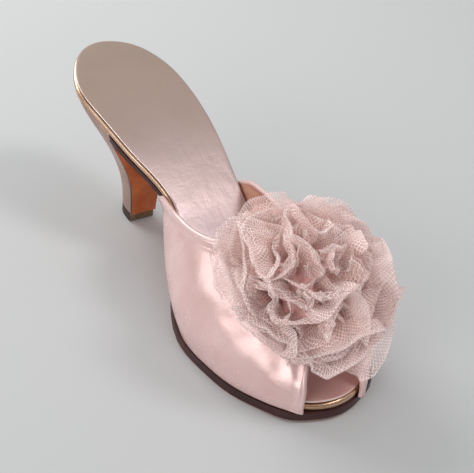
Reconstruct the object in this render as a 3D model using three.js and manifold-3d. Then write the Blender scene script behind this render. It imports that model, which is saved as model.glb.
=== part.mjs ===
// An open-toe mule for the left foot: a satin vamp on a wrapped platform, a covered curved heel whose breast is
// faced by the outsole's own flap, and a net pompom on the vamp.
// Millimetres, +Z up. The toe points along -Y and the little-toe side is +X.
// The origin is the middle of the heel's top piece, on the floor.
import * as THREE from "three";
import { mergeVertices } from "three/addons/utils/BufferGeometryUtils.js";
import Module from "manifold-3d";

const { lerp, clamp, degToRad, smoothstep } = THREE.MathUtils;
const wasm = await Module();
wasm.setup();

// Sole sizes. Lengths "along" are level, from the back of the seat towards the toe.
const SOLE_LENGTH = 216;
const BALL_WIDTH = 65.3;
const SEAT_WIDTH = 56;
const SEAT_RISE = 69.7; // the back of the seat above the forefoot
const TOE_SPRING = 1.4;
const SPRING_START = 0.84; // share of the length where the toe starts to rise
const OUTSOLE_THICK = 3.8; // at the forefoot, which rests on the floor
const WAIST_THICK = 3; // outsole under the arch
const PLATFORM_THICK = 3.3;
const INSOLE_THICK = 1.1;
const INSOLE_INSET = 0.8; // the insole's edge inside the platform's
const EDGE_ROUND = 0.9; // how far the wrapped edges roll in at their top and bottom
const SOLE_LEDGE = 0.7; // outsole beyond the vamp
const TOE_LEDGE = 0.4; // outsole beyond the platform in the open toe
const GAP = 0.3; // between pieces that touch

// Vamp sizes.
const WALL = 1.8; // satin, stiffener and kid lining
const INSTEP_HEIGHT = 52; // the vamp's crown above the sole at the throat
const CROWN_SHIFT = 3; // the crown's ridge lies this far to the big-toe side
const WING_FLARE = 7.5; // the most that the vamp leans out past the sole's edge
const FLARE_HEIGHT = 16; // height over which it leans out
const BINDING_WIDTH = 3.2;
const BINDING_RISE = 0.5;
const TOE_FOLD_WIDTH = 2.6;
const TOE_FOLD_RISE = 0.35;

// Heel sizes.
const LIFT_LENGTH = 14;
const LIFT_WIDTH = 13.8;
const LIFT_THICK = 5;
const LIFT_SETBACK = 37.5; // back of the top piece from the back of the seat
const BREAST_ALONG = 57; // breast's top edge from the back of the seat
const HEEL_INSET = 0.4; // the heel's cover inside the platform's edge
const FLAP_THICK = 1.6;

// Pompom sizes.
const POMPOM_RADIUS = 40;
const POMPOM_ALONG = 182;
const POMPOM_CORE = 0.62; // the dense middle, as a share of the radius
const POMPOM_CLEARANCE = 1; // over the binding too
const RUFFLE_THICK = 2.4;

const HEEL_CENTRE = LIFT_SETBACK + LIFT_LENGTH / 2;

// The sole's top in side view: along is a share of SOLE_LENGTH, rise a share of SEAT_RISE.
const PROFILE = [
  { along: 0, rise: 1 },
  { along: 0.07, rise: 0.958 },
  { along: 0.14, rise: 0.907 },
  { along: 0.21, rise: 0.839 },
  { along: 0.28, rise: 0.743 },
  { along: 0.35, rise: 0.618 },
  { along: 0.42, rise: 0.472 },
  { along: 0.49, rise: 0.318 },
  { along: 0.56, rise: 0.187 },
  { along: 0.605, rise: 0.118 },
  { along: 0.65, rise: 0.056 },
  { along: 0.695, rise: 0.014 },
  { along: 0.73, rise: 0 },
  { along: 1, rise: 0 },
];

// The platform's plan: half widths either side of the centre line, as shares of the sole's width there.
const OUTLINE = [
  { along: 0, medial: 0, lateral: 0 },
  { along: 0.056, medial: 0.355, lateral: 0.362 },
  { along: 0.163, medial: 0.508, lateral: 0.489 },
  { along: 0.302, medial: 0.398, lateral: 0.516 },
  { along: 0.442, medial: 0.182, lateral: 0.451 },
  { along: 0.581, medial: 0.394, lateral: 0.391 },
  { along: 0.698, medial: 0.515, lateral: 0.485 },
  { along: 0.814, medial: 0.49, lateral: 0.508 },
  { along: 0.916, medial: 0.37, lateral: 0.423 },
  { along: 0.972, medial: 0.248, lateral: 0.256 },
  { along: 1, medial: 0, lateral: 0 },
];

// How far the vamp leans out past the sole's edge, as shares of WING_FLARE.
const FLARE = [
  { along: 0.41, medial: 0.7, lateral: 0.1 },
  { along: 0.49, medial: 0.92, lateral: 0.25 },
  { along: 0.55, medial: 0.7, lateral: 0.35 },
  { along: 0.61, medial: 0.6, lateral: 0.45 },
  { along: 0.7, medial: 0.4, lateral: 0.4 },
  { along: 0.8, medial: 0.3, lateral: 0.3 },
  { along: 0.9, medial: 0.2, lateral: 0.2 },
  { along: 1, medial: 0.14, lateral: 0.14 },
];

// The vamp's crown above the sole, as a share of INSTEP_HEIGHT. Behind the throat it is the foot's own line.
const CROWN = [
  { along: 0.41, height: 1.05 },
  { along: 0.48, height: 1.14 },
  { along: 0.54, height: 1.18 },
  { along: 0.59, height: 1.17 },
  { along: 0.635, height: 1.11 },
  { along: 0.69, height: 1.08 },
  { along: 0.744, height: 1 },
  { along: 0.814, height: 0.83 },
  { along: 0.884, height: 0.61 },
  { along: 0.93, height: 0.46 },
  { along: 0.967, height: 0.35 },
  { along: 1, height: 0.2 },
];

// Where the vamp starts and ends. Turn runs over the arch from 0 at either side of the sole to 0.5 at the crown.
const TOPLINE = [
  { turn: 0, medial: 0.413, lateral: 0.423 },
  { turn: 0.05, medial: 0.443, lateral: 0.454 },
  { turn: 0.1, medial: 0.486, lateral: 0.498 },
  { turn: 0.15, medial: 0.535, lateral: 0.549 },
  { turn: 0.2, medial: 0.586, lateral: 0.6 },
  { turn: 0.25, medial: 0.635, lateral: 0.645 },
  { turn: 0.32, medial: 0.693, lateral: 0.698 },
  { turn: 0.4, medial: 0.73, lateral: 0.731 },
  { turn: 0.5, medial: 0.744, lateral: 0.744 },
];
const TOE_EDGE = [
  { turn: 0, medial: 0.973, lateral: 0.99 },
  { turn: 0.15, medial: 0.97, lateral: 0.985 },
  { turn: 0.28, medial: 0.956, lateral: 0.968 },
  { turn: 0.38, medial: 0.936, lateral: 0.942 },
  { turn: 0.5, medial: 0.912, lateral: 0.912 },
];

// The heel from its top piece, level 0, to the seat, level 1: how far each part has spread to the seat's outline.
const HEEL_SHAPE = [
  { level: 0, flare: 0, breast: 0 },
  { level: 0.12, flare: 0.015, breast: 0.06 },
  { level: 0.26, flare: 0.07, breast: 0.22 },
  { level: 0.4, flare: 0.18, breast: 0.44 },
  { level: 0.54, flare: 0.34, breast: 0.6 },
  { level: 0.68, flare: 0.54, breast: 0.66 },
  { level: 0.82, flare: 0.76, breast: 0.72 },
  { level: 0.92, flare: 0.91, breast: 0.84 },
  { level: 1, flare: 1, breast: 1 },
];

// The pompom's ruffles, from the upright middle to the lowest: lean from its axis and ripple in degrees.
const RUFFLES = [
  { lean: 14, ripple: 13, waves: 4, reach: 0.86, phase: 0.4 },
  { lean: 42, ripple: 12, waves: 6, reach: 0.96, phase: 1.7 },
  { lean: 68, ripple: 10, waves: 8, reach: 1, phase: 0.9 },
  { lean: 93, ripple: 9, waves: 9, reach: 0.97, phase: 2.6 },
];

// A smooth curve through two columns of a table that never overshoots its rows.
function curve(rows, from, to) {
  const x = rows.map((row) => row[from]);
  const y = rows.map((row) => row[to]);
  const chord = x.slice(1).map((end, i) => (y[i + 1] - y[i]) / (end - x[i]));
  const slope = x.map((_, i) => {
    if (i === 0) return chord[0];
    if (i === x.length - 1) return chord[i - 1];
    const [before, after] = [chord[i - 1], chord[i]];
    return before * after > 0 ? (2 * before * after) / (before + after) : 0;
  });
  return (value) => {
    const at = clamp(value, x[0], x[x.length - 1]);
    const i = Math.min(x.length - 2, Math.max(0, x.findIndex((knot) => knot >= at) - 1));
    const width = x[i + 1] - x[i];
    const t = (at - x[i]) / width;
    const rest = 1 - t;
    const ends = y[i] * (1 + 2 * t) * rest * rest + y[i + 1] * (3 - 2 * t) * t * t;
    return ends + width * t * rest * (slope[i] * rest - slope[i + 1] * t);
  };
}

const place = (along, across, up) => new THREE.Vector3(across, HEEL_CENTRE - along, up);

// Stations gather at both round ends, where along = length * (1 - cos(sweep)) / 2.
const sweepOf = (share) => Math.acos(1 - 2 * clamp(share, 0, 1));
const outlineBySweep = OUTLINE.map((row) => ({ ...row, sweep: sweepOf(row.along) }));
const halfShare = {
  medial: curve(outlineBySweep, "sweep", "medial"),
  lateral: curve(outlineBySweep, "sweep", "lateral"),
};
const soleWidth = (share) => lerp(SEAT_WIDTH, BALL_WIDTH, smoothstep(share, 0.3, 0.6));
const SIDES = { medial: -1, lateral: 1 };

function halfWidth(side, along) {
  const share = along / SOLE_LENGTH;
  return halfShare[side](sweepOf(share)) * soleWidth(share);
}

// The top of the outsole, where the vamp meets it.
const riseShare = curve(PROFILE, "along", "rise");
function soleTop(along) {
  const share = along / SOLE_LENGTH;
  const spring = TOE_SPRING * Math.max((share - SPRING_START) / (1 - SPRING_START), 0) ** 2;
  const backSlope = (riseShare(0.01) - 1) / 0.01;
  const pastBack = Math.min(share, 0) * backSlope;
  return OUTSOLE_THICK + SEAT_RISE * (riseShare(share) + pastBack) + spring;
}

// A point at a height above the sole's top, measured square to the slope of the sole.
function onSole(along, across, height) {
  const step = 0.5;
  const slope = (soleTop(along + step) - soleTop(along - step)) / (2 * step);
  const square = Math.hypot(1, slope);
  return place(along - (slope / square) * height, across, soleTop(along) + height / square);
}

// Closes, cleans and turns outwards a mesh given as points and corner numbers.
function closedGeometry(points, corners) {
  const raw = new THREE.BufferGeometry();
  raw.setAttribute("position", new THREE.Float32BufferAttribute(points.flatMap((p) => p.toArray()), 3));
  raw.setIndex(corners);
  const merged = mergeVertices(raw, 1e-3);
  const index = merged.index.array;
  const kept = [];
  for (let i = 0; i < index.length; i += 3) {
    const [a, b, c] = [index[i], index[i + 1], index[i + 2]];
    if (a !== b && b !== c && c !== a) kept.push(a, b, c);
  }
  const corner = (i) => new THREE.Vector3().fromBufferAttribute(merged.attributes.position, i);
  let volume = 0;
  for (let i = 0; i < kept.length; i += 3) {
    volume += corner(kept[i]).dot(corner(kept[i + 1]).cross(corner(kept[i + 2])));
  }
  if (volume < 0) kept.reverse();
  merged.setIndex(kept);
  return merged;
}

// A solid through sections with the same number of points. Each section goes down one side and back up the other,
// so that its halves pair up across the piece and close both ends, even where they shrink to a line.
function loft(sections) {
  const count = sections[0].length;
  const corners = [];
  const quad = (a, b, c, d) => corners.push(a, b, c, a, c, d);
  for (let i = 0; i + 1 < sections.length; i += 1) {
    for (let j = 0; j < count; j += 1) {
      const next = (j + 1) % count;
      quad(i * count + j, i * count + next, (i + 1) * count + next, (i + 1) * count + j);
    }
  }
  const last = (sections.length - 1) * count;
  for (let j = 0; j + 1 < count / 2; j += 1) {
    const far = count - 1 - j;
    quad(j, far, far - 1, j + 1);
    quad(last + j, last + j + 1, last + far - 1, last + far);
  }
  return closedGeometry(sections.flat(), corners);
}

// A shell between two grids of points, closed along all four borders.
function shell(outer, inner) {
  const rows = outer.length;
  const columns = outer[0].length;
  const corners = [];
  const quad = (a, b, c, d) => corners.push(a, b, c, a, c, d);
  const out = (i, j) => i * columns + j;
  const into = (i, j) => rows * columns + i * columns + j;
  for (let i = 0; i + 1 < rows; i += 1) {
    for (let j = 0; j + 1 < columns; j += 1) {
      quad(out(i, j), out(i, j + 1), out(i + 1, j + 1), out(i + 1, j));
      quad(into(i, j), into(i + 1, j), into(i + 1, j + 1), into(i, j + 1));
    }
    quad(out(i, 0), out(i + 1, 0), into(i + 1, 0), into(i, 0));
    quad(out(i, columns - 1), into(i, columns - 1), into(i + 1, columns - 1), out(i + 1, columns - 1));
  }
  for (let j = 0; j + 1 < columns; j += 1) {
    quad(out(0, j), into(0, j), into(0, j + 1), out(0, j + 1));
    quad(out(rows - 1, j), out(rows - 1, j + 1), into(rows - 1, j + 1), into(rows - 1, j));
  }
  return closedGeometry([...outer.flat(), ...inner.flat()], corners);
}

function toManifold(geometry) {
  const vertProperties = new Float32Array(geometry.attributes.position.array);
  const triVerts = new Uint32Array(geometry.index.array);
  return new wasm.Manifold(new wasm.Mesh({ numProp: 3, vertProperties, triVerts }));
}

function fromManifold(solid) {
  const { vertProperties, triVerts } = solid.getMesh();
  const geometry = new THREE.BufferGeometry();
  geometry.setAttribute("position", new THREE.BufferAttribute(vertProperties, 3));
  geometry.setIndex(new THREE.BufferAttribute(triVerts, 1));
  return geometry;
}

// The plan outline's outward direction on one side, as steps along and across.
function outward(side, along) {
  const step = 0.2;
  const [before, after] = [Math.max(along - step, 0), Math.min(along + step, SOLE_LENGTH)];
  const slope = (halfWidth(side, after) - halfWidth(side, before)) / (after - before);
  const atEnd = along < step ? -1 : along > SOLE_LENGTH - step ? 1 : 0;
  if (atEnd) return { along: atEnd, across: 0 };
  const size = Math.hypot(1, slope);
  return { along: -slope / size, across: SIDES[side] / size };
}

// One point of a layer's edge: "out" moves it square to the outline, "height" square to the sole.
function edgePoint(side, along, out, height) {
  const direction = outward(side, along);
  const across = SIDES[side] * halfWidth(side, along) + direction.across * out;
  return onSole(along + direction.along * out, across, height);
}

// A layer of the bottom between two stations. Levels go from its top face to its bottom one.
function layer(levels, { from = 0, to = SOLE_LENGTH, stations = 44 } = {}) {
  const [first, last] = [sweepOf(from / SOLE_LENGTH), sweepOf(to / SOLE_LENGTH)];
  const sections = [];
  for (let i = 0; i <= stations; i += 1) {
    const along = (SOLE_LENGTH * (1 - Math.cos(lerp(first, last, i / stations)))) / 2;
    const edge = (side) => levels.map((level) => edgePoint(side, along, level.out(along), level.height(along)));
    sections.push([...edge("lateral"), ...edge("medial").reverse()]);
  }
  return loft(sections);
}

// Levels of an edge that is wrapped over and under its board.
function rolledEdge(bottom, thick, inset) {
  const share = [
    { down: 0, roll: 1 },
    { down: 0.16, roll: 0.3 },
    { down: 0.5, roll: 0 },
    { down: 0.84, roll: 0.3 },
    { down: 1, roll: 1 },
  ];
  return share.map(({ down, roll }) => ({
    out: () => -inset - roll * Math.min(EDGE_ROUND, thick * 0.6),
    height: () => bottom + thick * (1 - down),
  }));
}

const PLATFORM_BOTTOM = GAP;
const INSOLE_BOTTOM = PLATFORM_BOTTOM + PLATFORM_THICK + GAP;

function platformGeometry() {
  return layer(rolledEdge(PLATFORM_BOTTOM, PLATFORM_THICK, 0));
}

function insoleGeometry() {
  return layer(rolledEdge(INSOLE_BOTTOM, INSOLE_THICK, INSOLE_INSET));
}

// The outsole's edge beyond the platform: past the vamp at the sides, less in the open toe and at the waist.
const waistShare = (along) => 1 - smoothstep(along / SOLE_LENGTH, 0.5, 0.66);
function soleReach(along) {
  const underVamp = GAP + WALL + SOLE_LEDGE;
  const toe = smoothstep(along / SOLE_LENGTH, 0.95, 0.995);
  return lerp(lerp(underVamp, -0.2, waistShare(along)), TOE_LEDGE, toe);
}

const heelShape = {
  flare: curve(HEEL_SHAPE, "level", "flare"),
  breast: curve(HEEL_SHAPE, "level", "breast"),
};
const HEEL_BOTTOM = LIFT_THICK + GAP;

// The top piece's plan, a D with its flat side to the front. Round is 0 at the front corner and 1 at the back.
function liftPoint(side, round, up, inset = 0) {
  const angle = (round * Math.PI) / 2;
  const along = LIFT_SETBACK + LIFT_LENGTH - inset - (LIFT_LENGTH - 2 * inset) * Math.sin(angle);
  const across = (LIFT_WIDTH / 2 - inset) * Math.cos(angle) ** 0.6;
  return { along, across: SIDES[side] * across, up };
}

// A point of the heel's cover, blended between its top piece and the seat's outline.
function heelPoint(side, round, level) {
  const foot = liftPoint(side, round, HEEL_BOTTOM);
  const seatAlong = BREAST_ALONG * Math.cos((round * Math.PI) / 2);
  const half = Math.max(halfWidth(side, seatAlong) - HEEL_INSET, 0);
  const flare = heelShape.flare(level);
  const forward = lerp(heelShape.breast(level), flare, smoothstep(round, 0, 0.7));
  return {
    along: lerp(foot.along, seatAlong + HEEL_INSET * round, forward),
    across: lerp(foot.across, SIDES[side] * half, flare),
    up: lerp(foot.up, soleTop(seatAlong), level),
  };
}

function heelGeometry() {
  const [levels, rounds] = [15, 13];
  const sections = [];
  for (let i = 0; i <= levels; i += 1) {
    const ring = (side) => {
      const points = Array.from({ length: rounds + 1 }, (_, j) => heelPoint(side, j / rounds, i / levels));
      return points.map(({ along, across, up }) => place(along, across, up));
    };
    sections.push([...ring("lateral"), ...ring("medial").reverse()]);
  }
  return loft(sections);
}

function liftGeometry() {
  const rounds = 13;
  const chamfer = 0.5;
  const rings = [
    { up: 0, inset: chamfer },
    { up: chamfer, inset: 0 },
    { up: LIFT_THICK, inset: 0 },
  ];
  const sections = rings.map(({ up, inset }) => {
    const ring = (side) => Array.from({ length: rounds + 1 }, (_, j) => liftPoint(side, j / rounds, up, inset));
    return [...ring("lateral"), ...ring("medial").reverse()].map((p) => place(p.along, p.across, p.up));
  });
  return loft(sections);
}

// The outsole from the toe to the heel, and its flap down the heel's breast, cut from one piece of leather.
function outsoleGeometry() {
  const thick = (along) => lerp(OUTSOLE_THICK, WAIST_THICK, waistShare(along));
  const bevel = 0.5;
  const levels = [
    { out: soleReach, height: () => 0 },
    { out: soleReach, height: (along) => bevel - thick(along) },
    { out: (along) => soleReach(along) - bevel, height: (along) => -thick(along) },
  ];
  const start = BREAST_ALONG + GAP + WAIST_THICK / 2; // its cut edge leans back to the breast
  const leather = layer(levels, { from: start, stations: 36 });

  const steps = 12;
  const top = 0.975;
  const sections = [];
  for (let i = 0; i <= steps; i += 1) {
    const level = (top * i) / steps;
    const [right, left] = [heelPoint("lateral", 0, level), heelPoint("medial", 0, level)];
    const back = right.along + GAP;
    const spread = (across) => across - Math.sign(across) * HEEL_INSET * (i === steps ? 1 : 0);
    sections.push([
      place(back, spread(right.across), right.up),
      place(back + FLAP_THICK, spread(right.across), right.up),
      place(back + FLAP_THICK, spread(left.across), left.up),
      place(back, spread(left.across), left.up),
    ]);
  }
  return fromManifold(toManifold(leather).add(toManifold(loft(sections))));
}

const flareShare = { medial: curve(FLARE, "along", "medial"), lateral: curve(FLARE, "along", "lateral") };
const crownShare = curve(CROWN, "along", "height");
const edgeCurves = (rows) => ({ medial: curve(rows, "turn", "medial"), lateral: curve(rows, "turn", "lateral") });
const [topline, toeEdge] = [edgeCurves(TOPLINE), edgeCurves(TOE_EDGE)];
const sideOf = (turn) => (turn < 0.5 ? "medial" : "lateral");
const edgeAlong = (edge, turn) => SOLE_LENGTH * edge[sideOf(turn)](Math.min(turn, 1 - turn));

// How far out the vamp's face stands at the sole, clear of the platform, whose edge is square to the slope.
function vampFoot(side, along) {
  const slope = soleTop(along + 0.5) - soleTop(along - 0.5);
  const shift = (-slope / Math.hypot(1, slope)) * (GAP + PLATFORM_THICK);
  const platform = Math.max(halfWidth(side, along), halfWidth(side, along - shift));
  const direction = outward(side, along);
  return { along: direction.along * (GAP + WALL), across: platform + Math.abs(direction.across) * (GAP + WALL) };
}

// The vamp's outer face. Turn goes from 0 at the big-toe side of the sole over the crown to 1 at the other side.
function vampPoint(turn, along) {
  const side = sideOf(turn);
  const share = along / SOLE_LENGTH;
  const angle = Math.PI * turn;
  const lean = WING_FLARE * flareShare[side](share) * Math.cos(angle) ** 2;
  const foot = vampFoot(side, along);
  const reach = foot.across + lean + SIDES[side] * CROWN_SHIFT;
  const up = INSTEP_HEIGHT * crownShare(share) * Math.sin(angle);
  const tuck = lean * (1 - Math.min(up / FLARE_HEIGHT, 1)) ** 2;
  const across = SIDES[side] * (reach * Math.abs(Math.cos(angle)) - tuck) - CROWN_SHIFT;
  const base = along + foot.along * Math.abs(Math.cos(angle));
  return place(base, across, soleTop(base) + GAP + up);
}

// The outward direction of the vamp's face. At the sole it stays level, so that the wall stands on the sole.
function vampNormal(turn, along) {
  const [step, part] = [0.5, 0.004];
  const [low, high] = [Math.max(turn - part, 0), Math.min(turn + part, 1)];
  const over = vampPoint(high, along).sub(vampPoint(low, along));
  const forward = vampPoint(turn, along + step).sub(vampPoint(turn, along - step));
  const normal = forward.cross(over);
  if (turn === 0 || turn === 1) normal.z = 0;
  return normal.normalize();
}

const vampOffset = (turn, along, out) => vampPoint(turn, along).addScaledVector(vampNormal(turn, along), out);

// The vamp: one shell from the bound topline to the folded toe edge, its two edges raised as rolls.
function vampGeometry() {
  const [columns, middleRows] = [36, 15];
  const roll = [
    { off: 0, rise: 0.6 },
    { off: 0.3, rise: 1 },
    { off: 0.8, rise: 1 },
    { off: 1.05, rise: 0 },
  ];
  const fold = roll.map((row) => ({ ...row })).reverse();
  const outer = [];
  const inner = [];
  const addRow = (alongOf, rise) => {
    const turns = Array.from({ length: columns + 1 }, (_, j) => j / columns);
    outer.push(turns.map((turn) => vampOffset(turn, alongOf(turn), rise)));
    inner.push(turns.map((turn) => vampOffset(turn, alongOf(turn), -WALL)));
  };
  const start = (turn) => edgeAlong(topline, turn);
  const end = (turn) => edgeAlong(toeEdge, turn);
  const speed = (turn, along) => vampPoint(turn, along + 0.5).distanceTo(vampPoint(turn, along - 0.5));
  const fromStart = (turn, off) => start(turn) + off / speed(turn, start(turn));
  const fromEnd = (turn, off) => end(turn) - off / speed(turn, end(turn));
  const bound = BINDING_WIDTH * roll[roll.length - 1].off;
  const folded = TOE_FOLD_WIDTH * fold[0].off;
  roll.forEach(({ off, rise }) => addRow((turn) => fromStart(turn, BINDING_WIDTH * off), BINDING_RISE * rise));
  for (let i = 1; i < middleRows; i += 1) {
    addRow((turn) => lerp(fromStart(turn, bound), fromEnd(turn, folded), i / middleRows), 0);
  }
  fold.forEach(({ off, rise }) => addRow((turn) => fromEnd(turn, TOE_FOLD_WIDTH * off), TOE_FOLD_RISE * rise));
  return shell(outer, inner);
}

// What the pompom rests on: the vamp's form, a little larger and closed underneath.
function vampForm() {
  const [stations, turns] = [22, 24];
  const [from, to] = [0.6 * SOLE_LENGTH, 0.985 * SOLE_LENGTH];
  const sections = [];
  for (let i = 0; i <= stations; i += 1) {
    const along = lerp(from, to, i / stations);
    const points = [];
    for (let j = 0; j < turns; j += 1) {
      const turn = j / (turns - 1);
      points.push(vampOffset(turn, along, POMPOM_CLEARANCE));
    }
    sections.push(points);
  }
  return loft(sections);
}

// The pompom: a dense dome with rippled ruffles fused on, cut to lie on the vamp.
function pompomGeometry() {
  const centre = vampPoint(0.5, POMPOM_ALONG);
  const axis = vampNormal(0.5, POMPOM_ALONG);
  const across = new THREE.Vector3(1, 0, 0);
  const back = new THREE.Vector3().crossVectors(axis, across);
  const core = new THREE.IcosahedronGeometry(POMPOM_RADIUS * POMPOM_CORE, 3);
  core.deleteAttribute("normal");
  core.deleteAttribute("uv");
  core.translate(centre.x, centre.y, centre.z);
  let solid = toManifold(mergeVertices(core, 1e-3));

  const steps = 54;
  const reaches = [0.3, 0.56, 0.8, 1];
  const ruffle = ({ lean, ripple, waves, reach, phase }) => {
    const at = (step, share, side) => {
      const turn = (2 * Math.PI * step) / steps;
      const radius = POMPOM_RADIUS * reach * share;
      const swing = ripple * share * Math.sin(waves * turn + phase);
      const bend = degToRad(lean + swing) + (side * RUFFLE_THICK) / (2 * radius);
      const around = across.clone().multiplyScalar(Math.cos(turn)).addScaledVector(back, Math.sin(turn));
      const ray = around.multiplyScalar(Math.sin(bend)).addScaledVector(axis, Math.cos(bend));
      return centre.clone().addScaledVector(ray, radius);
    };
    const points = [];
    const corners = [];
    const ring = [...reaches.map((share) => [share, 1]), ...reaches.map((share) => [share, -1]).reverse()];
    for (let i = 0; i < steps; i += 1) {
      ring.forEach(([share, side], j) => {
        points.push(at(i, share, side));
        const next = (j + 1) % ring.length;
        const [a, b] = [i * ring.length + j, i * ring.length + next];
        const [c, d] = [((i + 1) % steps) * ring.length + next, ((i + 1) % steps) * ring.length + j];
        corners.push(a, b, c, a, c, d);
      });
    }
    return toManifold(closedGeometry(points, corners));
  };
  RUFFLES.forEach((row) => {
    solid = solid.add(ruffle(row));
  });
  const cut = solid.subtract(toManifold(vampForm()));
  const pieces = cut.decompose().sort((a, b) => b.volume() - a.volume());
  return fromManifold(pieces[0]);
}

function material(color, roughness, metalness = 0) {
  return new THREE.MeshStandardMaterial({ color, roughness, metalness });
}

const satin = material(0xe3bfba, 0.4);
const sockSatin = material(0xb9a2a0, 0.45);
const roseGold = material(0xd8a88c, 0.3, 0.6);
const soleLeather = material(0x3a1d18, 0.45);
const heelCover = material(0xcdb5a8, 0.35, 0.3);
const liftRubber = material(0x2b1f1a, 0.6);
const netting = material(0xdcb9b4, 0.9);

const shoe = new THREE.Group();
function addPiece(name, geometry, finish) {
  const mesh = new THREE.Mesh(geometry, finish);
  mesh.name = name;
  shoe.add(mesh);
}

addPiece("outsole", outsoleGeometry(), soleLeather);
addPiece("platform", platformGeometry(), roseGold);
addPiece("insole", insoleGeometry(), sockSatin);
addPiece("upper", vampGeometry(), satin);
addPiece("heel", heelGeometry(), heelCover);
addPiece("top_piece", liftGeometry(), liftRubber);
addPiece("pompom", pompomGeometry(), netting);

export default shoe;
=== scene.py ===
import math
import random

import bpy
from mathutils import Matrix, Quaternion, Vector, geometry, noise
from mathutils.bvhtree import BVHTree


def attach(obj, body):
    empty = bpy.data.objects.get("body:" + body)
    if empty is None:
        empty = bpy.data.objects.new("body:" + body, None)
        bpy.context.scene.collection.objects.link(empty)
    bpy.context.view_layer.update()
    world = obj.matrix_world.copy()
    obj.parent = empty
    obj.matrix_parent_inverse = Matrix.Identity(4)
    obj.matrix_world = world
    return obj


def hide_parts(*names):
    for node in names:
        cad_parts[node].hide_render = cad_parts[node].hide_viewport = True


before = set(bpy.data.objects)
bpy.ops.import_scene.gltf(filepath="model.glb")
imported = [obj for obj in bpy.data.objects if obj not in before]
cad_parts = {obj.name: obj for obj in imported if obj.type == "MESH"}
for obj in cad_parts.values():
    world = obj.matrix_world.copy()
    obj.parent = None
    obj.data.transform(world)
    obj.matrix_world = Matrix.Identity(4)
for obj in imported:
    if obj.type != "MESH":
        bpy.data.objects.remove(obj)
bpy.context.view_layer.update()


# Camera
# The shoe is seen from the front of its big-toe side and from above, as it was photographed.
# The camera looks past the middle of the shoe and is rolled a few degrees.
camera = bpy.data.objects.new("camera", bpy.data.cameras.new("camera"))
bpy.context.collection.objects.link(camera)
bpy.context.scene.camera = camera
camera.location = (-0.2362, -0.3929, 0.2956)
looking = Vector((0.5106, 0.6573, -0.5543))
roll_left = Quaternion((0, 0, 1), math.radians(6.82))
camera.rotation_mode = "QUATERNION"
camera.rotation_quaternion = looking.to_track_quat("-Z", "Y") @ roll_left
camera.data.sensor_width = 36
camera.data.lens = 79
camera.data.clip_start = 0.02


# Studio
# A sheet of pale grey paper runs under the shoe and past the picture's edge, with painted shade at the front.
# A long soft light stands low on the big-toe side. Weaker ones are at the front, over the little-toe side
# and behind, and pale walls are all round.
def paint(red, green, blue, strength=1.0):
    """A colour given as on a screen, 0 to 255, as the light values that a shader takes."""
    def light(value):
        share = value / 255
        return strength * (share / 12.92 if share <= 0.04045 else ((share + 0.055) / 1.055) ** 2.4)
    return (light(red), light(green), light(blue), 1.0)


def put(tree, kind, place=(0, 0), **settings):
    """A new node of that kind, with its settings."""
    made = tree.nodes.new(kind)
    made.location = place
    for name, value in settings.items():
        setattr(made, name, value)
    return made


def only(obj):
    """Selects this object and nothing else, and makes it the active one."""
    bpy.ops.object.select_all(action="DESELECT")
    obj.select_set(True)
    bpy.context.view_layer.objects.active = obj


def finish(name, colour, roughness, metallic=0.0, **sockets):
    """A material with one Principled shader. Gives the material, its tree and its shader."""
    made = bpy.data.materials.new(name)
    made.use_nodes = True
    shader = made.node_tree.nodes["Principled BSDF"]
    shader.inputs["Base Color"].default_value = colour
    shader.inputs["Roughness"].default_value = roughness
    shader.inputs["Metallic"].default_value = metallic
    for socket, value in sockets.items():
        shader.inputs[socket.replace("_", " ").title().replace("Ior", "IOR")].default_value = value
    return made, made.node_tree, shader


bpy.ops.object.select_all(action="DESELECT")
bpy.ops.mesh.primitive_plane_add(size=6)
paper = bpy.context.object
paper.name = "paper"
paper_painted_shade, paper_far = paint(184, 185, 185), paint(212, 213, 213)
paper_finish, tree, shader = finish("paper", paper_far, 0.9)
mottle = put(tree, "ShaderNodeTexNoise", (-600, 0))
mottle.inputs["Scale"].default_value = 3.0
spread = put(tree, "ShaderNodeMapRange", (-400, 0))
spread.inputs["To Min"].default_value = 0.88
spread.inputs["To Max"].default_value = 0.93
place = put(tree, "ShaderNodeTexCoord", (-800, 0))
tree.links.new(place.outputs["Object"], mottle.inputs["Vector"])
tree.links.new(mottle.outputs["Fac"], spread.inputs["Value"])
tree.links.new(spread.outputs["Result"], shader.inputs["Roughness"])
# Painted shade: a ramp on the paper's depth darkens its colour towards the front, as the light falls off.
parts = put(tree, "ShaderNodeSeparateXYZ", (-600, 300))
depth = put(tree, "ShaderNodeMapRange", (-400, 300))
depth.inputs["From Min"].default_value = -0.4
depth.inputs["From Max"].default_value = 0.5
shade = put(tree, "ShaderNodeValToRGB", (-200, 300))
shade.color_ramp.elements[0].color = paper_painted_shade
shade.color_ramp.elements[1].color = paper_far
tree.links.new(place.outputs["Object"], parts.inputs["Vector"])
tree.links.new(parts.outputs["Y"], depth.inputs["Value"])
tree.links.new(depth.outputs["Result"], shade.inputs["Fac"])
tree.links.new(shade.outputs["Color"], shader.inputs["Base Color"])
paper.data.materials.append(paper_finish)

lit_middle = Vector((0, -0.07, 0.03))
for name, place, wide, high, power in [
    ("window_light", (-1.6, -0.07, 0.63), 1.65, 0.58, 9.6),
    ("front_light", (-0.94, -0.55, 0.6), 0.35, 0.35, 1.3),
    ("ceiling_light", (0.42, -0.5, 0.9), 0.3, 0.3, 3.1),
    ("back_light", (-0.25, 0.9, 0.9), 0.8, 0.6, 8.0),
]:
    lamp = bpy.data.objects.new(name, bpy.data.lights.new(name, "AREA"))
    bpy.context.collection.objects.link(lamp)
    lamp.data.shape = "RECTANGLE"
    lamp.data.size = wide
    lamp.data.size_y = high
    lamp.data.energy = power
    lamp.location = place
    lamp.rotation_mode = "QUATERNION"
    lamp.rotation_quaternion = (lit_middle - Vector(place)).to_track_quat("-Z", "Y")

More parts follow.
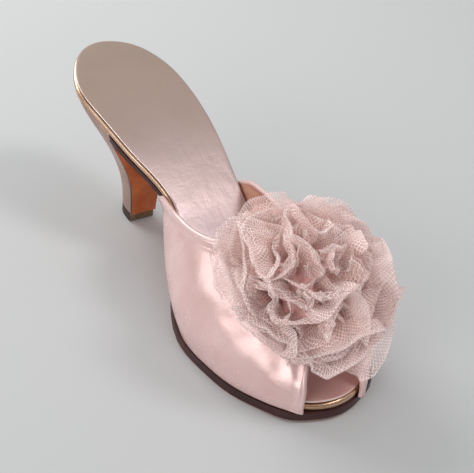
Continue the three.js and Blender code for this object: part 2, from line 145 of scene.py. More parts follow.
room = bpy.data.worlds.new("room")
bpy.context.scene.world = room
room.use_nodes = True
walls = room.node_tree
sky = walls.nodes["Background"]
sky.inputs["Strength"].default_value = 0.5
heading = put(walls, "ShaderNodeTexCoord", (-900, 0))
split = put(walls, "ShaderNodeSeparateXYZ", (-700, 0))
height = put(walls, "ShaderNodeValToRGB", (-500, 0))
height.color_ramp.elements[0].color = (0.34, 0.31, 0.3, 1)
height.color_ramp.elements[1].position = 0.55
height.color_ramp.elements[1].color = (0.98, 0.99, 1.0, 1)
walls.links.new(heading.outputs["Generated"], split.inputs["Vector"])
walls.links.new(split.outputs["Z"], height.inputs["Fac"])
walls.links.new(height.outputs["Color"], sky.inputs["Color"])
bpy.context.scene.view_settings.view_transform = "Standard"


# Outsole
# One piece of sole leather from the toe to the heel, its edge stained and waxed nearly black.
# Its back end is skived and glued down the heel's breast, where the tan grain side shows.
def copied(node, name):
    """The solid of a node as a piece of its own: welded, and with its triangles joined to quads."""
    made = bpy.data.objects.new(name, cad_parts[node].data.copy())
    bpy.context.collection.objects.link(made)
    made.data.materials.clear()
    only(made)
    bpy.ops.object.mode_set(mode="EDIT")
    bpy.ops.mesh.select_all(action="SELECT")
    bpy.ops.mesh.remove_doubles(threshold=1e-5)
    bpy.ops.mesh.tris_convert_to_quads(face_threshold=math.radians(30), shape_threshold=math.radians(70))
    bpy.ops.object.mode_set(mode="OBJECT")
    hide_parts(node)
    return made


def rounded(obj, width, segments, angle):
    """Rounds the edges that turn by more than the angle, in degrees."""
    only(obj)
    soften = obj.modifiers.new("soften", "BEVEL")
    soften.width = width
    soften.segments = segments
    soften.limit_method = "ANGLE"
    soften.angle_limit = math.radians(angle)
    bpy.ops.object.modifier_apply(modifier=soften.name)


def fined(obj, levels):
    """Divides the faces on a smooth surface."""
    only(obj)
    finer = obj.modifiers.new("finer", "SUBSURF")
    finer.levels = levels
    finer.render_levels = levels
    bpy.ops.object.modifier_apply(modifier=finer.name)
    bpy.ops.object.shade_smooth()


def faces_by(obj, choose):
    """Gives each face the material slot that the choice names from its middle and its normal."""
    for face in obj.data.polygons:
        face.material_index = choose(face.center, face.normal)


def new_group(name, inputs, outputs):
    """A node group that takes a Vector and the named numbers. Gives its tree and its two end nodes."""
    tree = bpy.data.node_groups.new(name, "ShaderNodeTree")
    tree.interface.new_socket("Vector", in_out="INPUT", socket_type="NodeSocketVector")
    for label, value in inputs.items():
        socket = tree.interface.new_socket(label, in_out="INPUT", socket_type="NodeSocketFloat")
        socket.default_value = value
    for label in outputs:
        kind = "NodeSocketVector" if label == "Normal" else "NodeSocketFloat"
        tree.interface.new_socket(label, in_out="OUTPUT", socket_type=kind)
    return tree, put(tree, "NodeGroupInput", (-1300, 0)), put(tree, "NodeGroupOutput", (700, 0))


def grain_group():
    """Leather's fine creased grain, as a normal, and the clouds that mottle its colour."""
    tree, given, result = new_group("leather grain", {"Size": 900.0, "Depth": 0.2, "Mottle": 60.0},
                                    ["Normal", "Mottle"])
    cells = put(tree, "ShaderNodeTexVoronoi", (-600, 150), feature="DISTANCE_TO_EDGE")
    cloud = put(tree, "ShaderNodeTexNoise", (-600, -200))
    cloud.inputs["Detail"].default_value = 5.0
    shallow = put(tree, "ShaderNodeMapRange", (-350, 150))
    shallow.inputs["From Max"].default_value = 0.12
    bump = put(tree, "ShaderNodeBump", (100, 150))
    bump.inputs["Distance"].default_value = 0.0002
    tree.links.new(given.outputs["Vector"], cells.inputs["Vector"])
    tree.links.new(given.outputs["Size"], cells.inputs["Scale"])
    tree.links.new(given.outputs["Vector"], cloud.inputs["Vector"])
    tree.links.new(given.outputs["Mottle"], cloud.inputs["Scale"])
    tree.links.new(cells.outputs["Distance"], shallow.inputs["Value"])
    tree.links.new(shallow.outputs["Result"], bump.inputs["Height"])
    tree.links.new(given.outputs["Depth"], bump.inputs["Strength"])
    tree.links.new(bump.outputs["Normal"], result.inputs["Normal"])
    tree.links.new(cloud.outputs["Fac"], result.inputs["Mottle"])
    return tree


leather_grain = grain_group()


def leather(name, dark, light, rough, metallic=0.0, size=900.0, depth=0.2, mottle=60.0, **sockets):
    """Leather: mottled between two colours, with grain, and duller where it is darker."""
    made, tree, shader = finish(name, light, rough[0], metallic, **sockets)
    where = put(tree, "ShaderNodeTexCoord", (-1000, 0))
    grain = put(tree, "ShaderNodeGroup", (-800, 0), node_tree=leather_grain)
    grain.inputs["Size"].default_value = size
    grain.inputs["Depth"].default_value = depth
    grain.inputs["Mottle"].default_value = mottle
    blend = put(tree, "ShaderNodeValToRGB", (-550, 200))
    blend.color_ramp.elements[0].position = 0.35
    blend.color_ramp.elements[0].color = dark
    blend.color_ramp.elements[1].position = 0.68
    blend.color_ramp.elements[1].color = light
    dull = put(tree, "ShaderNodeMapRange", (-550, -150))
    dull.inputs["To Min"].default_value = rough[1]
    dull.inputs["To Max"].default_value = rough[0]
    tree.links.new(where.outputs["Object"], grain.inputs["Vector"])
    tree.links.new(grain.outputs["Mottle"], blend.inputs["Fac"])
    tree.links.new(grain.outputs["Mottle"], dull.inputs["Value"])
    tree.links.new(blend.outputs["Color"], shader.inputs["Base Color"])
    tree.links.new(dull.outputs["Result"], shader.inputs["Roughness"])
    tree.links.new(grain.outputs["Normal"], shader.inputs["Normal"])
    return made


outsole = copied("outsole", "outsole_leather")
rounded(outsole, 0.00035, 2, 50)
outsole.data.materials.append(leather(
    "waxed_edge", paint(44, 16, 15), paint(66, 28, 26), (0.34, 0.46),
    size=1500.0, depth=0.12, coat_weight=0.1))
outsole.data.materials.append(leather(
    "tan_sole_leather", paint(186, 90, 42), paint(218, 124, 66), (0.42, 0.6),
    size=1300.0, depth=0.15, mottle=90.0))


def outsole_face(middle, normal):
    """Tan underneath and down the breast, stained at the edges."""
    breast = middle.y > -0.02 and normal.y < -0.6
    return 1 if normal.z < -0.6 or breast else 0


faces_by(outsole, outsole_face)
only(outsole)
bpy.ops.object.shade_smooth_by_angle(angle=math.radians(35))
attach(outsole, "root")


# Heel
# A hard moulded block covered in thin metallic leather, pulled tight and turned in round the breast.
# It is screwed to the seat through the insole and set well forward under it.
heel = copied("heel", "heel_cover")
rounded(heel, 0.0004, 2, 50)
fined(heel, 1)
heel.data.materials.append(leather(
    "silver_pink_leather", paint(168, 133, 121), paint(198, 164, 150), (0.32, 0.44),
    metallic=0.6, size=1600.0, depth=0.1, mottle=45.0, coat_weight=0.05))
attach(heel, "root")


# Top piece
# The heel's foot, a D-shaped plate of hard rubber pinned up into the block.
# Its sides are dark, and its front face is olive.
top_piece = copied("top_piece", "heel_top_piece")
rounded(top_piece, 0.0003, 2, 40)
top_piece.data.materials.append(leather(
    "top_piece_dark_sides", paint(40, 30, 26), paint(62, 47, 40), (0.5, 0.68),
    size=2500.0, depth=0.1, mottle=300.0))
top_piece.data.materials.append(leather(
    "top_piece_olive_front", paint(112, 92, 66), paint(140, 118, 88), (0.55, 0.7),
    size=2500.0, depth=0.1, mottle=300.0))
faces_by(top_piece, lambda middle, normal: 1 if normal.y < -0.8 else 0)
only(top_piece)
bpy.ops.object.shade_smooth_by_angle(angle=math.radians(30))
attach(top_piece, "root")


# Platform
# A thin full-length board wrapped in rose-gold foiled leather, its edge rolled over and under.
# It is glued between the outsole and the insole, and stands bare round the open toe.
platform = copied("platform", "platform_wrap")
fined(platform, 2)
platform.data.materials.append(leather(
    "rose_gold_leather", paint(196, 158, 130), paint(226, 192, 164), (0.2, 0.28),
    metallic=0.9, size=1800.0, depth=0.02, mottle=70.0))
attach(platform, "root")


# Insole
# A satin sock glued over a thin board, with a rolled metallic edge that shows as a bright line.
# The satin is mauve, browner in the seat where the heel rubs it, with painted light at the toe.
def weave_group():
    """Satin's close threads, the streaks that run along it, and the soft unevenness of the cloth."""
    tree, given, result = new_group("satin weave", {"Depth": 0.2, "Dents": 0.2, "Streaks": 0.1},
                                    ["Normal", "Mottle"])
    threads = []
    for index, scale in enumerate([(1500, 220, 700), (260, 1100, 700)]):
        stretch = put(tree, "ShaderNodeMapping", (-900, 300 - 300 * index))
        stretch.inputs["Scale"].default_value = scale
        lines = put(tree, "ShaderNodeTexNoise", (-700, 300 - 300 * index))
        lines.inputs["Scale"].default_value = 1.0
        lines.inputs["Detail"].default_value = 2.0
        tree.links.new(given.outputs["Vector"], stretch.inputs["Vector"])
        tree.links.new(stretch.outputs["Vector"], lines.inputs["Vector"])
        threads.append(lines)
    mottle = put(tree, "ShaderNodeTexNoise", (-700, -400))
    mottle.inputs["Scale"].default_value = 75.0
    mottle.inputs["Detail"].default_value = 3.0
    over = put(tree, "ShaderNodeMath", (-400, 100), operation="ADD")
    fine = put(tree, "ShaderNodeBump", (300, 100))
    fine.inputs["Distance"].default_value = 0.0001
    dents = put(tree, "ShaderNodeBump", (0, -300))
    dents.inputs["Distance"].default_value = 0.001
    length = put(tree, "ShaderNodeMapping", (-900, -700))
    length.inputs["Scale"].default_value = (230, 26, 150)
    streak = put(tree, "ShaderNodeTexNoise", (-700, -700))
    streak.inputs["Scale"].default_value = 1.0
    streak.inputs["Detail"].default_value = 3.0
    streaks = put(tree, "ShaderNodeBump", (150, -500))
    streaks.inputs["Distance"].default_value = 0.0004
    tree.links.new(given.outputs["Vector"], length.inputs["Vector"])
    tree.links.new(length.outputs["Vector"], streak.inputs["Vector"])
    tree.links.new(streak.outputs["Fac"], streaks.inputs["Height"])
    tree.links.new(given.outputs["Streaks"], streaks.inputs["Strength"])
    tree.links.new(dents.outputs["Normal"], streaks.inputs["Normal"])
    tree.links.new(given.outputs["Vector"], mottle.inputs["Vector"])
    tree.links.new(threads[0].outputs["Fac"], over.inputs[0])
    tree.links.new(threads[1].outputs["Fac"], over.inputs[1])
    tree.links.new(mottle.outputs["Fac"], dents.inputs["Height"])
    tree.links.new(given.outputs["Dents"], dents.inputs["Strength"])
    tree.links.new(over.outputs["Value"], fine.inputs["Height"])
    tree.links.new(given.outputs["Depth"], fine.inputs["Strength"])
    tree.links.new(streaks.outputs["Normal"], fine.inputs["Normal"])
    tree.links.new(fine.outputs["Normal"], result.inputs["Normal"])
    tree.links.new(mottle.outputs["Fac"], result.inputs["Mottle"])
    return tree


satin_weave = weave_group()


def satin(name, coordinate, depth, dents, streaks, rough, metallic, **sockets):
    """Satin: close woven threads on an uneven ground. Gives its material, tree, shader and weave node."""
    made, tree, shader = finish(name, (1, 1, 1, 1), rough[0], metallic, **sockets)
    if coordinate == "Object":
        where = put(tree, "ShaderNodeTexCoord", (-1200, 0)).outputs["Object"]
    else:
        where = put(tree, "ShaderNodeUVMap", (-1200, 0), uv_map=coordinate).outputs["UV"]
    weave = put(tree, "ShaderNodeGroup", (-900, 0), node_tree=satin_weave)
    weave.inputs["Depth"].default_value = depth
    weave.inputs["Dents"].default_value = dents
    weave.inputs["Streaks"].default_value = streaks
    dull = put(tree, "ShaderNodeMapRange", (-600, -200))
    dull.inputs["From Min"].default_value = 0.3
    dull.inputs["From Max"].default_value = 0.7
    dull.inputs["To Min"].default_value = rough[0]
    dull.inputs["To Max"].default_value = rough[1]
    tree.links.new(where, weave.inputs["Vector"])
    tree.links.new(weave.outputs["Mottle"], dull.inputs["Value"])
    tree.links.new(dull.outputs["Result"], shader.inputs["Roughness"])
    tree.links.new(weave.outputs["Normal"], shader.inputs["Normal"])
    return made, tree, shader, weave


def ramp(tree, source, stops, place=(-400, 200)):
    """A colour ramp fed by a value, with (position, colour) stops. Gives its colour."""
    made = put(tree, "ShaderNodeValToRGB", place)
    marks = made.color_ramp.elements
    while len(marks) < len(stops):
        marks.new(0.5)
    for mark, (position, colour) in zip(marks, stops):
        mark.position = position
        mark.color = colour
    tree.links.new(source, made.inputs["Fac"])
    return made.outputs["Color"]


insole = copied("insole", "insole_sock")
fined(insole, 2)
toe_end, seat_end = -0.172, 0.044
sock, tree, shader, weave = satin(
    "mauve_satin", "Object", depth=0.3, dents=0.2, streaks=0.3, rough=(0.3, 0.4),
    metallic=0.32, coat_weight=0.06, coat_roughness=0.3)
where = put(tree, "ShaderNodeTexCoord", (-1400, 400))
apart = put(tree, "ShaderNodeSeparateXYZ", (-1200, 400))
along = put(tree, "ShaderNodeMapRange", (-1000, 400))
along.inputs["From Min"].default_value = toe_end
along.inputs["From Max"].default_value = seat_end
uneven = put(tree, "ShaderNodeTexNoise", (-1200, 650))
uneven.inputs["Scale"].default_value = 22.0
uneven.inputs["Detail"].default_value = 3.0
wander = put(tree, "ShaderNodeMath", (-800, 400), operation="MULTIPLY_ADD")
wander.inputs[1].default_value = 0.22
tree.links.new(where.outputs["Object"], apart.inputs["Vector"])
tree.links.new(where.outputs["Object"], uneven.inputs["Vector"])
tree.links.new(apart.outputs["Y"], along.inputs["Value"])
tree.links.new(uneven.outputs["Fac"], wander.inputs[0])
tree.links.new(along.outputs["Result"], wander.inputs[2])
tree.links.new(ramp(tree, wander.outputs["Value"], [
    # Painted light: the toe end is lighter and pinker, to lift the shade that the pompom casts over it.
    (0.1, paint(232, 184, 177)),
    (0.35, paint(190, 163, 165)),
    (0.62, paint(190, 166, 166)),
    (0.82, paint(182, 158, 148)),
    (1.0, paint(172, 150, 136)),
]), shader.inputs["Base Color"])
insole.data.materials.append(sock)
insole.data.materials.append(leather(
    "foiled_rim", paint(240, 220, 212), paint(252, 240, 234), (0.24, 0.32),
    metallic=0.6, size=2200.0, depth=0.02))
faces_by(insole, lambda middle, normal: 0 if abs(normal.z) > 0.75 else 1)
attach(insole, "root")


# Upper
# Pale pink satin over a stiffener, lasted over the edge of the board on both sides and cut away at the toe.
# Its top edge is bound with a folded strip of the same satin, and it is lined with peach kid leather.
upper = copied("upper", "satin_vamp")
crown = Vector((-0.003, 0, 0.012))


def in_metres(points):
    """Points given in millimetres, in the scene's own metres."""
    return [Vector(point) / 1000 for point in points]


# The middle of the wall along its two cut edges, from the big-toe side to the other: across, along and up.
topline = in_metres([
    (-13.8, -45.3, 37.6), (-17.8, -53.2, 43.5), (-21.8, -64.9, 47.2), (-25.0, -78.7, 49.7),
    (-24.6, -92.1, 50.0), (-21.1, -103.9, 51.7), (-15.3, -111.2, 53.5), (-9.2, -114.3, 55.2),
    (-3.0, -115.9, 55.4), (4.1, -114.3, 55.1), (11.1, -111.5, 53.3), (17.4, -105.0, 51.2),
    (21.3, -94.3, 48.8), (23.6, -82.2, 47.7), (26.9, -68.5, 44.9), (29.1, -55.8, 41.4),
    (28.8, -47.0, 36.5),
])
toe_edge = in_metres([
    (-16.9, -166.7, 5.2), (-17.3, -166.4, 8.5), (-16.9, -166.0, 11.6), (-16.1, -165.2, 14.8),
    (-15.1, -163.4, 18.2), (-13.3, -161.0, 21.6), (-10.7, -157.9, 25.1), (-7.2, -154.9, 28.2),
    (-3.0, -152.0, 30.7), (3.0, -155.6, 27.8), (7.7, -159.4, 24.4), (10.3, -163.5, 20.5),
    (11.7, -166.3, 16.7), (11.8, -168.5, 13.3), (11.8, -169.6, 10.5), (11.6, -170.1, 8.0),
    (10.7, -170.6, 5.5),
])
rounded(upper, 0.0004, 2, 55)
fined(upper, 2)
even = upper.modifiers.new("even", "SMOOTH")
even.factor = 0.5
even.iterations = 4
bpy.ops.object.modifier_apply(modifier=even.name)


def inside(middle, normal):
    """True on the lining: where a face looks at the middle of the shoe."""
    out = Vector((middle.x - crown.x, 0, middle.z - crown.z)).normalized()
    return normal.dot(out) < -0.35


def vamp_uv(obj):
    """Lays the weave round the foot: one way round the arch, the other along the shoe, in metres."""
    sheet = obj.data.uv_layers.new(name="cloth")
    for loop in obj.data.loops:
        point = obj.data.vertices[loop.vertex_index].co
        turn = math.atan2(point.x - crown.x, point.z - crown.z)
        sheet.data[loop.index].uv = (0.03 * turn, point.y)


vamp_uv(upper)
pompom_seat = Vector((-0.003, -0.1375, 0.0428))
shoulder_dents = [
    {"place": (-0.027, -0.115, 0.041), "wide": 0.0045, "deep": 0.00045},
    {"place": (-0.0295, -0.1275, 0.031), "wide": 0.004, "deep": 0.00035},
    {"place": (-0.0275, -0.1385, 0.027), "wide": 0.005, "deep": 0.0005},
    {"place": (-0.0245, -0.1465, 0.0245), "wide": 0.0036, "deep": 0.00018},
    {"place": (-0.022, -0.154, 0.0205), "wide": 0.004, "deep": 0.0002},
]
edge_grooves = [
    {"path": topline, "below": 0.0042, "deep": 0.0003},
    {"path": toe_edge, "below": 0.0036, "deep": 0.00022},
]
groove_width = 0.0007
stitched_radius = 0.02
pucker_reach = 0.045


def edge_distance(point, path):
    """How far a point is from a path."""
    closest = 1.0
    for start, end in zip(path, path[1:]):
        on_line, share = geometry.intersect_point_line(point, start, end)
        on_line = start if share < 0 else end if share > 1 else on_line
        closest = min(closest, (point - on_line).length)
    return closest


def pucker(point):
    """How far the satin lifts or dips.

    It is drawn in at the pompom's stitches, dented along its shoulder, and grooved below its two bindings."""
    away = point - pompom_seat
    round_it = math.atan2(away.z - away.y, away.x)
    near = max(0.0, 1 - max(away.length - stitched_radius, 0) / pucker_reach)
    lines = noise.noise(Vector((round_it * 3.2, away.length * 22, 1.7)))
    soft = noise.noise(point * 55 + Vector((4.1, 0.3, 2.2)))
    dip = 0
    for dent in shoulder_dents:
        dip += dent["deep"] * math.exp(-((point - Vector(dent["place"])).length / dent["wide"]) ** 2)
    for groove in edge_grooves:
        off_line = edge_distance(point, groove["path"]) - groove["below"]
        dip += groove["deep"] * math.exp(-(off_line / groove_width) ** 2)
    return 0.0011 * near * lines + 0.0005 * soft - dip


foot_height = 0.006
moved = []
for vertex in upper.data.vertices:
    shift = vertex.normal * pucker(vertex.co) * (0 if vertex.co.z < foot_height else 1)
    moved.append(vertex.co - shift if inside(vertex.co, vertex.normal) else vertex.co + shift)
upper.data.vertices.foreach_set("co", [value for point in moved for value in point])
upper.data.update()
pink_satin, tree, shader, weave = satin(
    "pink_satin", "cloth", depth=0.3, dents=0.22, streaks=0.12, rough=(0.23, 0.31),
    metallic=0.22, coat_weight=0.3, coat_roughness=0.24)
tree.links.new(ramp(tree, weave.outputs["Mottle"], [
    (0.3, paint(223, 186, 182)),
    (0.5, paint(228, 193, 189)),
    (0.7, paint(232, 200, 196)),
]), shader.inputs["Base Color"])
upper.data.materials.append(pink_satin)
upper.data.materials.append(leather(
    "peach_kid", paint(196, 140, 118), paint(216, 164, 142), (0.5, 0.62), size=1400.0, depth=0.15))
faces_by(upper, lambda middle, normal: 1 if inside(middle, normal) else 0)
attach(upper, "root")


# Binding
# A narrow strip of the same satin, cut on the bias, is folded over the top edge and over the toe edge.
# It is sewn through and pressed round, so that it catches the light as a thin bright roll.
def roll(name, path, radius):
    """A round roll along a path, thinner where it is tucked under at its ends."""
    line = bpy.data.curves.new(name, "CURVE")
    line.dimensions = "3D"
    line.bevel_depth = radius
    line.bevel_resolution = 4
    line.use_fill_caps = True
    line.resolution_u = 10
    thread = line.splines.new("BEZIER")
    thread.bezier_points.add(len(path) - 1)
    for knot, point in zip(thread.bezier_points, path):
        knot.co = point
        knot.handle_left_type = "AUTO"
        knot.handle_right_type = "AUTO"
    for tucked in (thread.bezier_points[0], thread.bezier_points[-1]):
        tucked.radius = 0.8
    made = bpy.data.objects.new(name, line)
    bpy.context.collection.objects.link(made)
    only(made)
    bpy.ops.object.convert(target="MESH")
    made = bpy.context.object
    made.name = name
    bpy.ops.object.mode_set(mode="EDIT")
    bpy.ops.mesh.select_all(action="SELECT")
    bpy.ops.mesh.remove_doubles(threshold=1e-6)
    bpy.ops.mesh.normals_make_consistent(inside=False)
    bpy.ops.object.mode_set(mode="OBJECT")
    bpy.ops.object.shade_smooth()
    return made


bias_satin, tree, shader, weave = satin(
    "bias_satin", "Object", depth=0.2, dents=0.1, streaks=0.05, rough=(0.26, 0.34),
    metallic=0.2, coat_weight=0.25, coat_roughness=0.28)
shader.inputs["Base Color"].default_value = paint(231, 198, 194)
for name, path, radius in [("topline_binding", topline, 0.0012), ("toe_binding", toe_edge, 0.0011)]:
    binding = roll(name, path, radius)
    binding.data.materials.append(bias_satin)
    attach(binding, "root")


# Pompom
# Strips of pink net, some of them folded lengthways, are gathered along one edge and sewn one inside another.
# The lowest lie on the vamp, the innermost stand up, and a ball of scraps is sewn into the middle.
noise.seed_set(5)
pompom_axis = Vector((0, -0.604, 0.797))
pompom_side = Vector((1, 0, 0))
pompom_back = pompom_axis.cross(pompom_side)
vamp_tree = BVHTree.FromPolygons(
    [vertex.co.copy() for vertex in upper.data.vertices],
    [list(face.vertices) for face in upper.data.polygons])


def off_the_vamp(point, clear):
    """The point, moved out to lie on the vamp where it would be inside it."""
    near, normal, _, distance = vamp_tree.find_nearest(point)
    if near is None or distance > 0.02 or inside(near, normal):
        return point
    height = (point - near).dot(normal)
    return near + normal * clear if height < clear else point


def net_group():
    """Net: a mask of fine threads that cross, wavering a little as a loose net does."""
    tree, given, result = new_group("net threads", {"Pitch": 0.00105, "Thread": 0.1}, ["Cover"])
    drift = put(tree, "ShaderNodeTexNoise", (-1100, -300))
    drift.inputs["Scale"].default_value = 150.0
    pull = put(tree, "ShaderNodeVectorMath", (-900, -300), operation="SCALE")
    pull.inputs["Scale"].default_value = 0.0006
    pulled = put(tree, "ShaderNodeVectorMath", (-700, 0), operation="ADD")
    tree.links.new(given.outputs["Vector"], drift.inputs["Vector"])
    tree.links.new(drift.outputs["Color"], pull.inputs[0])
    tree.links.new(given.outputs["Vector"], pulled.inputs[0])
    tree.links.new(pull.outputs["Vector"], pulled.inputs[1])
    masks = []
    for index, direction in enumerate([(0.87, 0.5, 0), (0.87, -0.5, 0)]):
        across = put(tree, "ShaderNodeVectorMath", (-500, -250 * index), operation="DOT_PRODUCT")
        across.inputs[1].default_value = direction
        turns = put(tree, "ShaderNodeMath", (-300, -250 * index), operation="DIVIDE")
        fold = put(tree, "ShaderNodeMath", (-100, -250 * index), operation="PINGPONG")
        fold.inputs[1].default_value = 0.5
        line = put(tree, "ShaderNodeMath", (100, -250 * index), operation="LESS_THAN")
        tree.links.new(pulled.outputs["Vector"], across.inputs[0])
        tree.links.new(across.outputs["Value"], turns.inputs[0])
        tree.links.new(given.outputs["Pitch"], turns.inputs[1])
        tree.links.new(turns.outputs["Value"], fold.inputs[0])
        tree.links.new(fold.outputs["Value"], line.inputs[0])
        tree.links.new(given.outputs["Thread"], line.inputs[1])
        masks.append(line)
    either = put(tree, "ShaderNodeMath", (300, 0), operation="MAXIMUM")
    tree.links.new(masks[0].outputs["Value"], either.inputs[0])
    tree.links.new(masks[1].outputs["Value"], either.inputs[1])
    tree.links.new(either.outputs["Value"], result.inputs["Cover"])
    return tree


net_threads = net_group()


def net(name, thread, haze, edge_haze, stops):
    """Net fabric, closer where it is seen edge on. Painted shade deepens its colour towards the gathers."""
    made, tree, shader = finish(name, (1, 1, 1, 1), 0.7, sheen_weight=0.8, sheen_roughness=0.45)
    where = put(tree, "ShaderNodeUVMap", (-900, -200), uv_map="cloth")
    threads = put(tree, "ShaderNodeGroup", (-600, -200), node_tree=net_threads)
    threads.inputs["Thread"].default_value = thread
    slant = put(tree, "ShaderNodeLayerWeight", (-900, -450))
    slant.inputs["Blend"].default_value = 0.35
    closer = put(tree, "ShaderNodeMapRange", (-600, -450))
    closer.inputs["To Min"].default_value = haze
    closer.inputs["To Max"].default_value = edge_haze
    cover = put(tree, "ShaderNodeMath", (-300, -300), operation="MAXIMUM")
    depth = put(tree, "ShaderNodeAttribute", (-900, 200), attribute_name="depth")
    hem = put(tree, "ShaderNodeMapRange", (-600, -700))
    hem.inputs["From Min"].default_value = 0.955
    hem.inputs["From Max"].default_value = 0.975
    hem.inputs["To Max"].default_value = 0.45
    hemmed = put(tree, "ShaderNodeMath", (-150, -400), operation="MAXIMUM")
    tree.links.new(where.outputs["UV"], threads.inputs["Vector"])
    tree.links.new(slant.outputs["Facing"], closer.inputs["Value"])
    tree.links.new(threads.outputs["Cover"], cover.inputs[0])
    tree.links.new(closer.outputs["Result"], cover.inputs[1])
    tree.links.new(depth.outputs["Fac"], hem.inputs["Value"])
    tree.links.new(cover.outputs["Value"], hemmed.inputs[0])
    tree.links.new(hem.outputs["Result"], hemmed.inputs[1])
    tree.links.new(hemmed.outputs["Value"], shader.inputs["Alpha"])
    tree.links.new(ramp(tree, depth.outputs["Fac"], stops), shader.inputs["Base Color"])
    return made


bare_heading = 3.6
gathers = 38


def gathered(row, phase, seed, turn, share, opening):
    """Where a point of a strip goes once it is gathered into its ring.

    Turn is its angle round the ring, share its way from the gathers to the rim, and opening what parts the
    two layers of a double strip. The strips are shorter where the vamp's big-toe side shows bare."""
    front, back = max(0, -math.sin(turn)), max(0, math.sin(turn))
    fold = (row["waves"] * turn + phase[0]
            + 0.9 * math.sin(2 * turn + phase[1]) + 0.5 * math.sin(3 * turn + phase[2]))
    size = 0.8 + 0.3 * math.sin(turn + phase[3]) + 0.2 * math.sin(4 * turn + phase[4])
    lean = row["root"] + (row["lean"] - row["root"]) * share ** 0.8 + opening
    lean += row["swing"] * size * share * math.sin(fold - 0.7 * share)
    lean += 1.6 * (1 - share) * math.sin(gathers * turn + phase[5])
    slid = turn + row["slide"] * size * share * math.cos(fold) / row["waves"]
    uneven_rim = 1 + 0.08 * math.sin(2 * turn + phase[6]) + 0.07 * math.sin(5 * turn + phase[7])
    reach = 0.95 * row["reach"] * uneven_rim
    reach *= 1 - (0.4 if row["order"] < 6 else 0.24) * max(0, math.cos(turn - bare_heading)) ** 2
    reach *= 1 - 0.08 * back - 0.07 * max(0, math.cos(turn))
    if row["order"] < 5:
        reach *= 1 - 0.06 * front
        lean -= 14 * share * front
    around = pompom_side * math.cos(slid) + pompom_back * math.sin(slid)
    bend = math.radians(lean)
    outward = around * math.sin(bend) + pompom_axis * math.cos(bend)
    point = pompom_seat + around * row["ring"] + outward * (reach * (0.04 + 0.96 * share))
    x, y = math.cos(turn), math.sin(turn)
    wide = noise.noise_vector(Vector((1.6 * x, 1.6 * y, 2.2 * share + 3.1 * seed)))
    fine = noise.noise_vector(Vector((6.5 * x, 6.5 * y, 7 * share + 1.7 * seed)))
    return point + (wide * 0.0065 * share + fine * 0.0019 * (0.25 + share))


def lay_cloth(strip, places, grid, steps, rows, middle):
    """Gives each point its place on the flat strip, in metres: along it at its middle row, and across it."""
    lengths, widths = {0: 0.0}, {}
    for i in range(steps + 1):
        if i:
            lengths[i] = lengths[i - 1] + (places[grid[i, middle]] - places[grid[i - 1, middle]]).length
        widths[i, 0] = 0.0
        for j in range(1, rows + 1):
            widths[i, j] = widths[i, j - 1] + (places[grid[i, j]] - places[grid[i, j - 1]]).length
    flat = {index: (lengths[i], widths[i, j]) for (i, j), index in grid.items()}
    cloth = strip.data.uv_layers[0]
    cloth.name = "cloth"
    for loop in strip.data.loops:
        cloth.data[loop.index].uv = flat[loop.vertex_index]


def net_strip(name, row, seed):
    """A strip of net: laid flat, folded along its rim where it is double, then gathered into a ring."""
    chance = random.Random(seed)
    phase = [chance.uniform(0, 2 * math.pi) for _ in range(8)]
    double = row["gap"] > 0
    steps, rows = 320, 30 if double else 20
    bpy.ops.object.select_all(action="DESELECT")
    bpy.ops.mesh.primitive_grid_add(x_subdivisions=steps, y_subdivisions=rows, size=1)
    strip = bpy.context.object
    strip.name = name
    places, shares, grid = [], [], {}
    for vertex in strip.data.vertices:
        along, across = vertex.co.x + 0.5, vertex.co.y + 0.5
        side = 2 * vertex.co.y
        share = 1 - side * side if double else across
        opening = row["gap"] * math.sin(math.pi * side) if double else 0
        point = gathered(row, phase, seed, 2 * math.pi * along, share, opening)
        grid[round(along * steps), round(across * rows)] = len(places)
        places.append(off_the_vamp(point, 0.0006 + 0.0005 * row["order"]))
        shares.append(share)
    strip.data.vertices.foreach_set("co", [value for point in places for value in point])
    lay_cloth(strip, places, grid, steps, rows, rows // 4 if double else 3 * rows // 4)
    strip.data.attributes.new("depth", "FLOAT", "POINT").data.foreach_set("value", shares)
    strip.data.update()
    only(strip)
    bpy.ops.object.shade_smooth()
    return strip


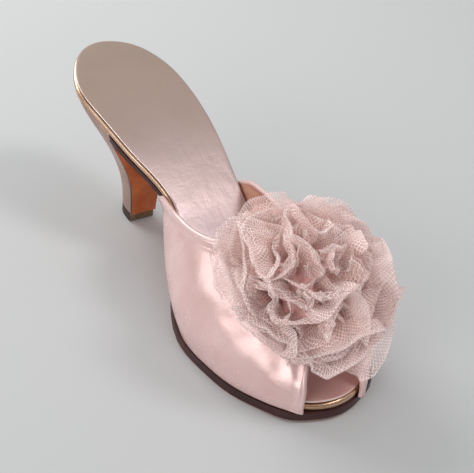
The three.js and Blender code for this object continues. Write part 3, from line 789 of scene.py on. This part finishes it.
# The strips, from the lowest to the innermost. Ring, reach: metres. Root, lean, swing, gap: degrees.
# Waves and slide count the folds and how far they lie over. A strip with a gap is folded double.
strip_columns = ("ring", "root", "lean", "reach", "waves", "swing", "slide", "gap")
strip_rows = [
    (0.010, 88, 102, 0.0320, 6, 5, 0.8, 0),
    (0.010, 83, 97, 0.0320, 6, 8, 1.0, 0),
    (0.010, 78, 91, 0.0330, 6, 11, 1.1, 0),
    (0.009, 72, 84, 0.0335, 6, 12, 1.1, 3),
    (0.009, 66, 77, 0.0340, 6, 14, 1.2, 0),
    (0.008, 60, 70, 0.0340, 6, 15, 1.2, 3),
    (0.007, 53, 62, 0.0345, 6, 15, 1.2, 0),
    (0.006, 46, 54, 0.0345, 6, 16, 1.2, 3),
    (0.005, 38, 46, 0.0350, 6, 16, 1.2, 0),
    (0.004, 31, 38, 0.0350, 5, 16, 1.2, 4),
    (0.003, 24, 30, 0.0345, 5, 16, 1.1, 0),
    (0.002, 16, 21, 0.0340, 4, 15, 1.0, 4),
    (0.001, 8, 11, 0.0330, 3, 13, 0.9, 0),
]
# Painted shade: each net's first colour, at the gathers, is a deeper pink for the shade in the pompom's
# hollows.
outer_net = net("outer_net", 0.075, 0.15, 0.42, [
    (0.0, paint(244, 196, 190)), (0.4, paint(253, 220, 215)), (1.0, paint(253, 231, 227))])
inner_net = net("inner_net", 0.085, 0.2, 0.46, [
    (0.0, paint(242, 172, 166)), (0.4, paint(253, 213, 207)), (1.0, paint(253, 228, 223))])
strips = []
for order, sizes_of_row in enumerate(strip_rows):
    row = dict(zip(strip_columns, sizes_of_row), order=order)
    strip = net_strip(f"net_strip_{order}", row, 11 + order)
    strip.data.materials.append(outer_net if order < 4 else inner_net)
    strips.append(strip)
only(strips[0])
for strip in strips:
    strip.select_set(True)
bpy.ops.object.join()
pompom_net = bpy.context.object
pompom_net.name = "pompom_net"
bpy.ops.object.mode_set(mode="EDIT")
bpy.ops.mesh.select_all(action="SELECT")
bpy.ops.mesh.dissolve_degenerate(threshold=2e-6)
bpy.ops.object.mode_set(mode="OBJECT")
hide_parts("pompom")
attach(pompom_net, "root")

heart_radius = 0.0145
heart_middle = pompom_seat + pompom_axis * 0.004
bpy.ops.object.select_all(action="DESELECT")
bpy.ops.mesh.primitive_ico_sphere_add(subdivisions=5, radius=heart_radius, location=heart_middle)
heart = bpy.context.object
heart.name = "pompom_heart"
bpy.ops.object.transform_apply(location=True, rotation=True, scale=True)
for vertex in heart.data.vertices:
    out = (vertex.co - pompom_seat).normalized()
    vertex.co += out * 0.008 * noise.noise(vertex.co * 150)
    vertex.co = off_the_vamp(vertex.co, 0.0006)
bpy.ops.object.shade_smooth()
# Painted shade: the ball is a deeper pink than the net's rims, for the shade in the pompom's hollow middle.
heart.data.materials.append(leather(
    "packed_net", paint(238, 180, 175), paint(250, 210, 205), (0.8, 0.9),
    size=900.0, depth=0.6, mottle=220.0))
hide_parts("pompom")
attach(heart, "root")
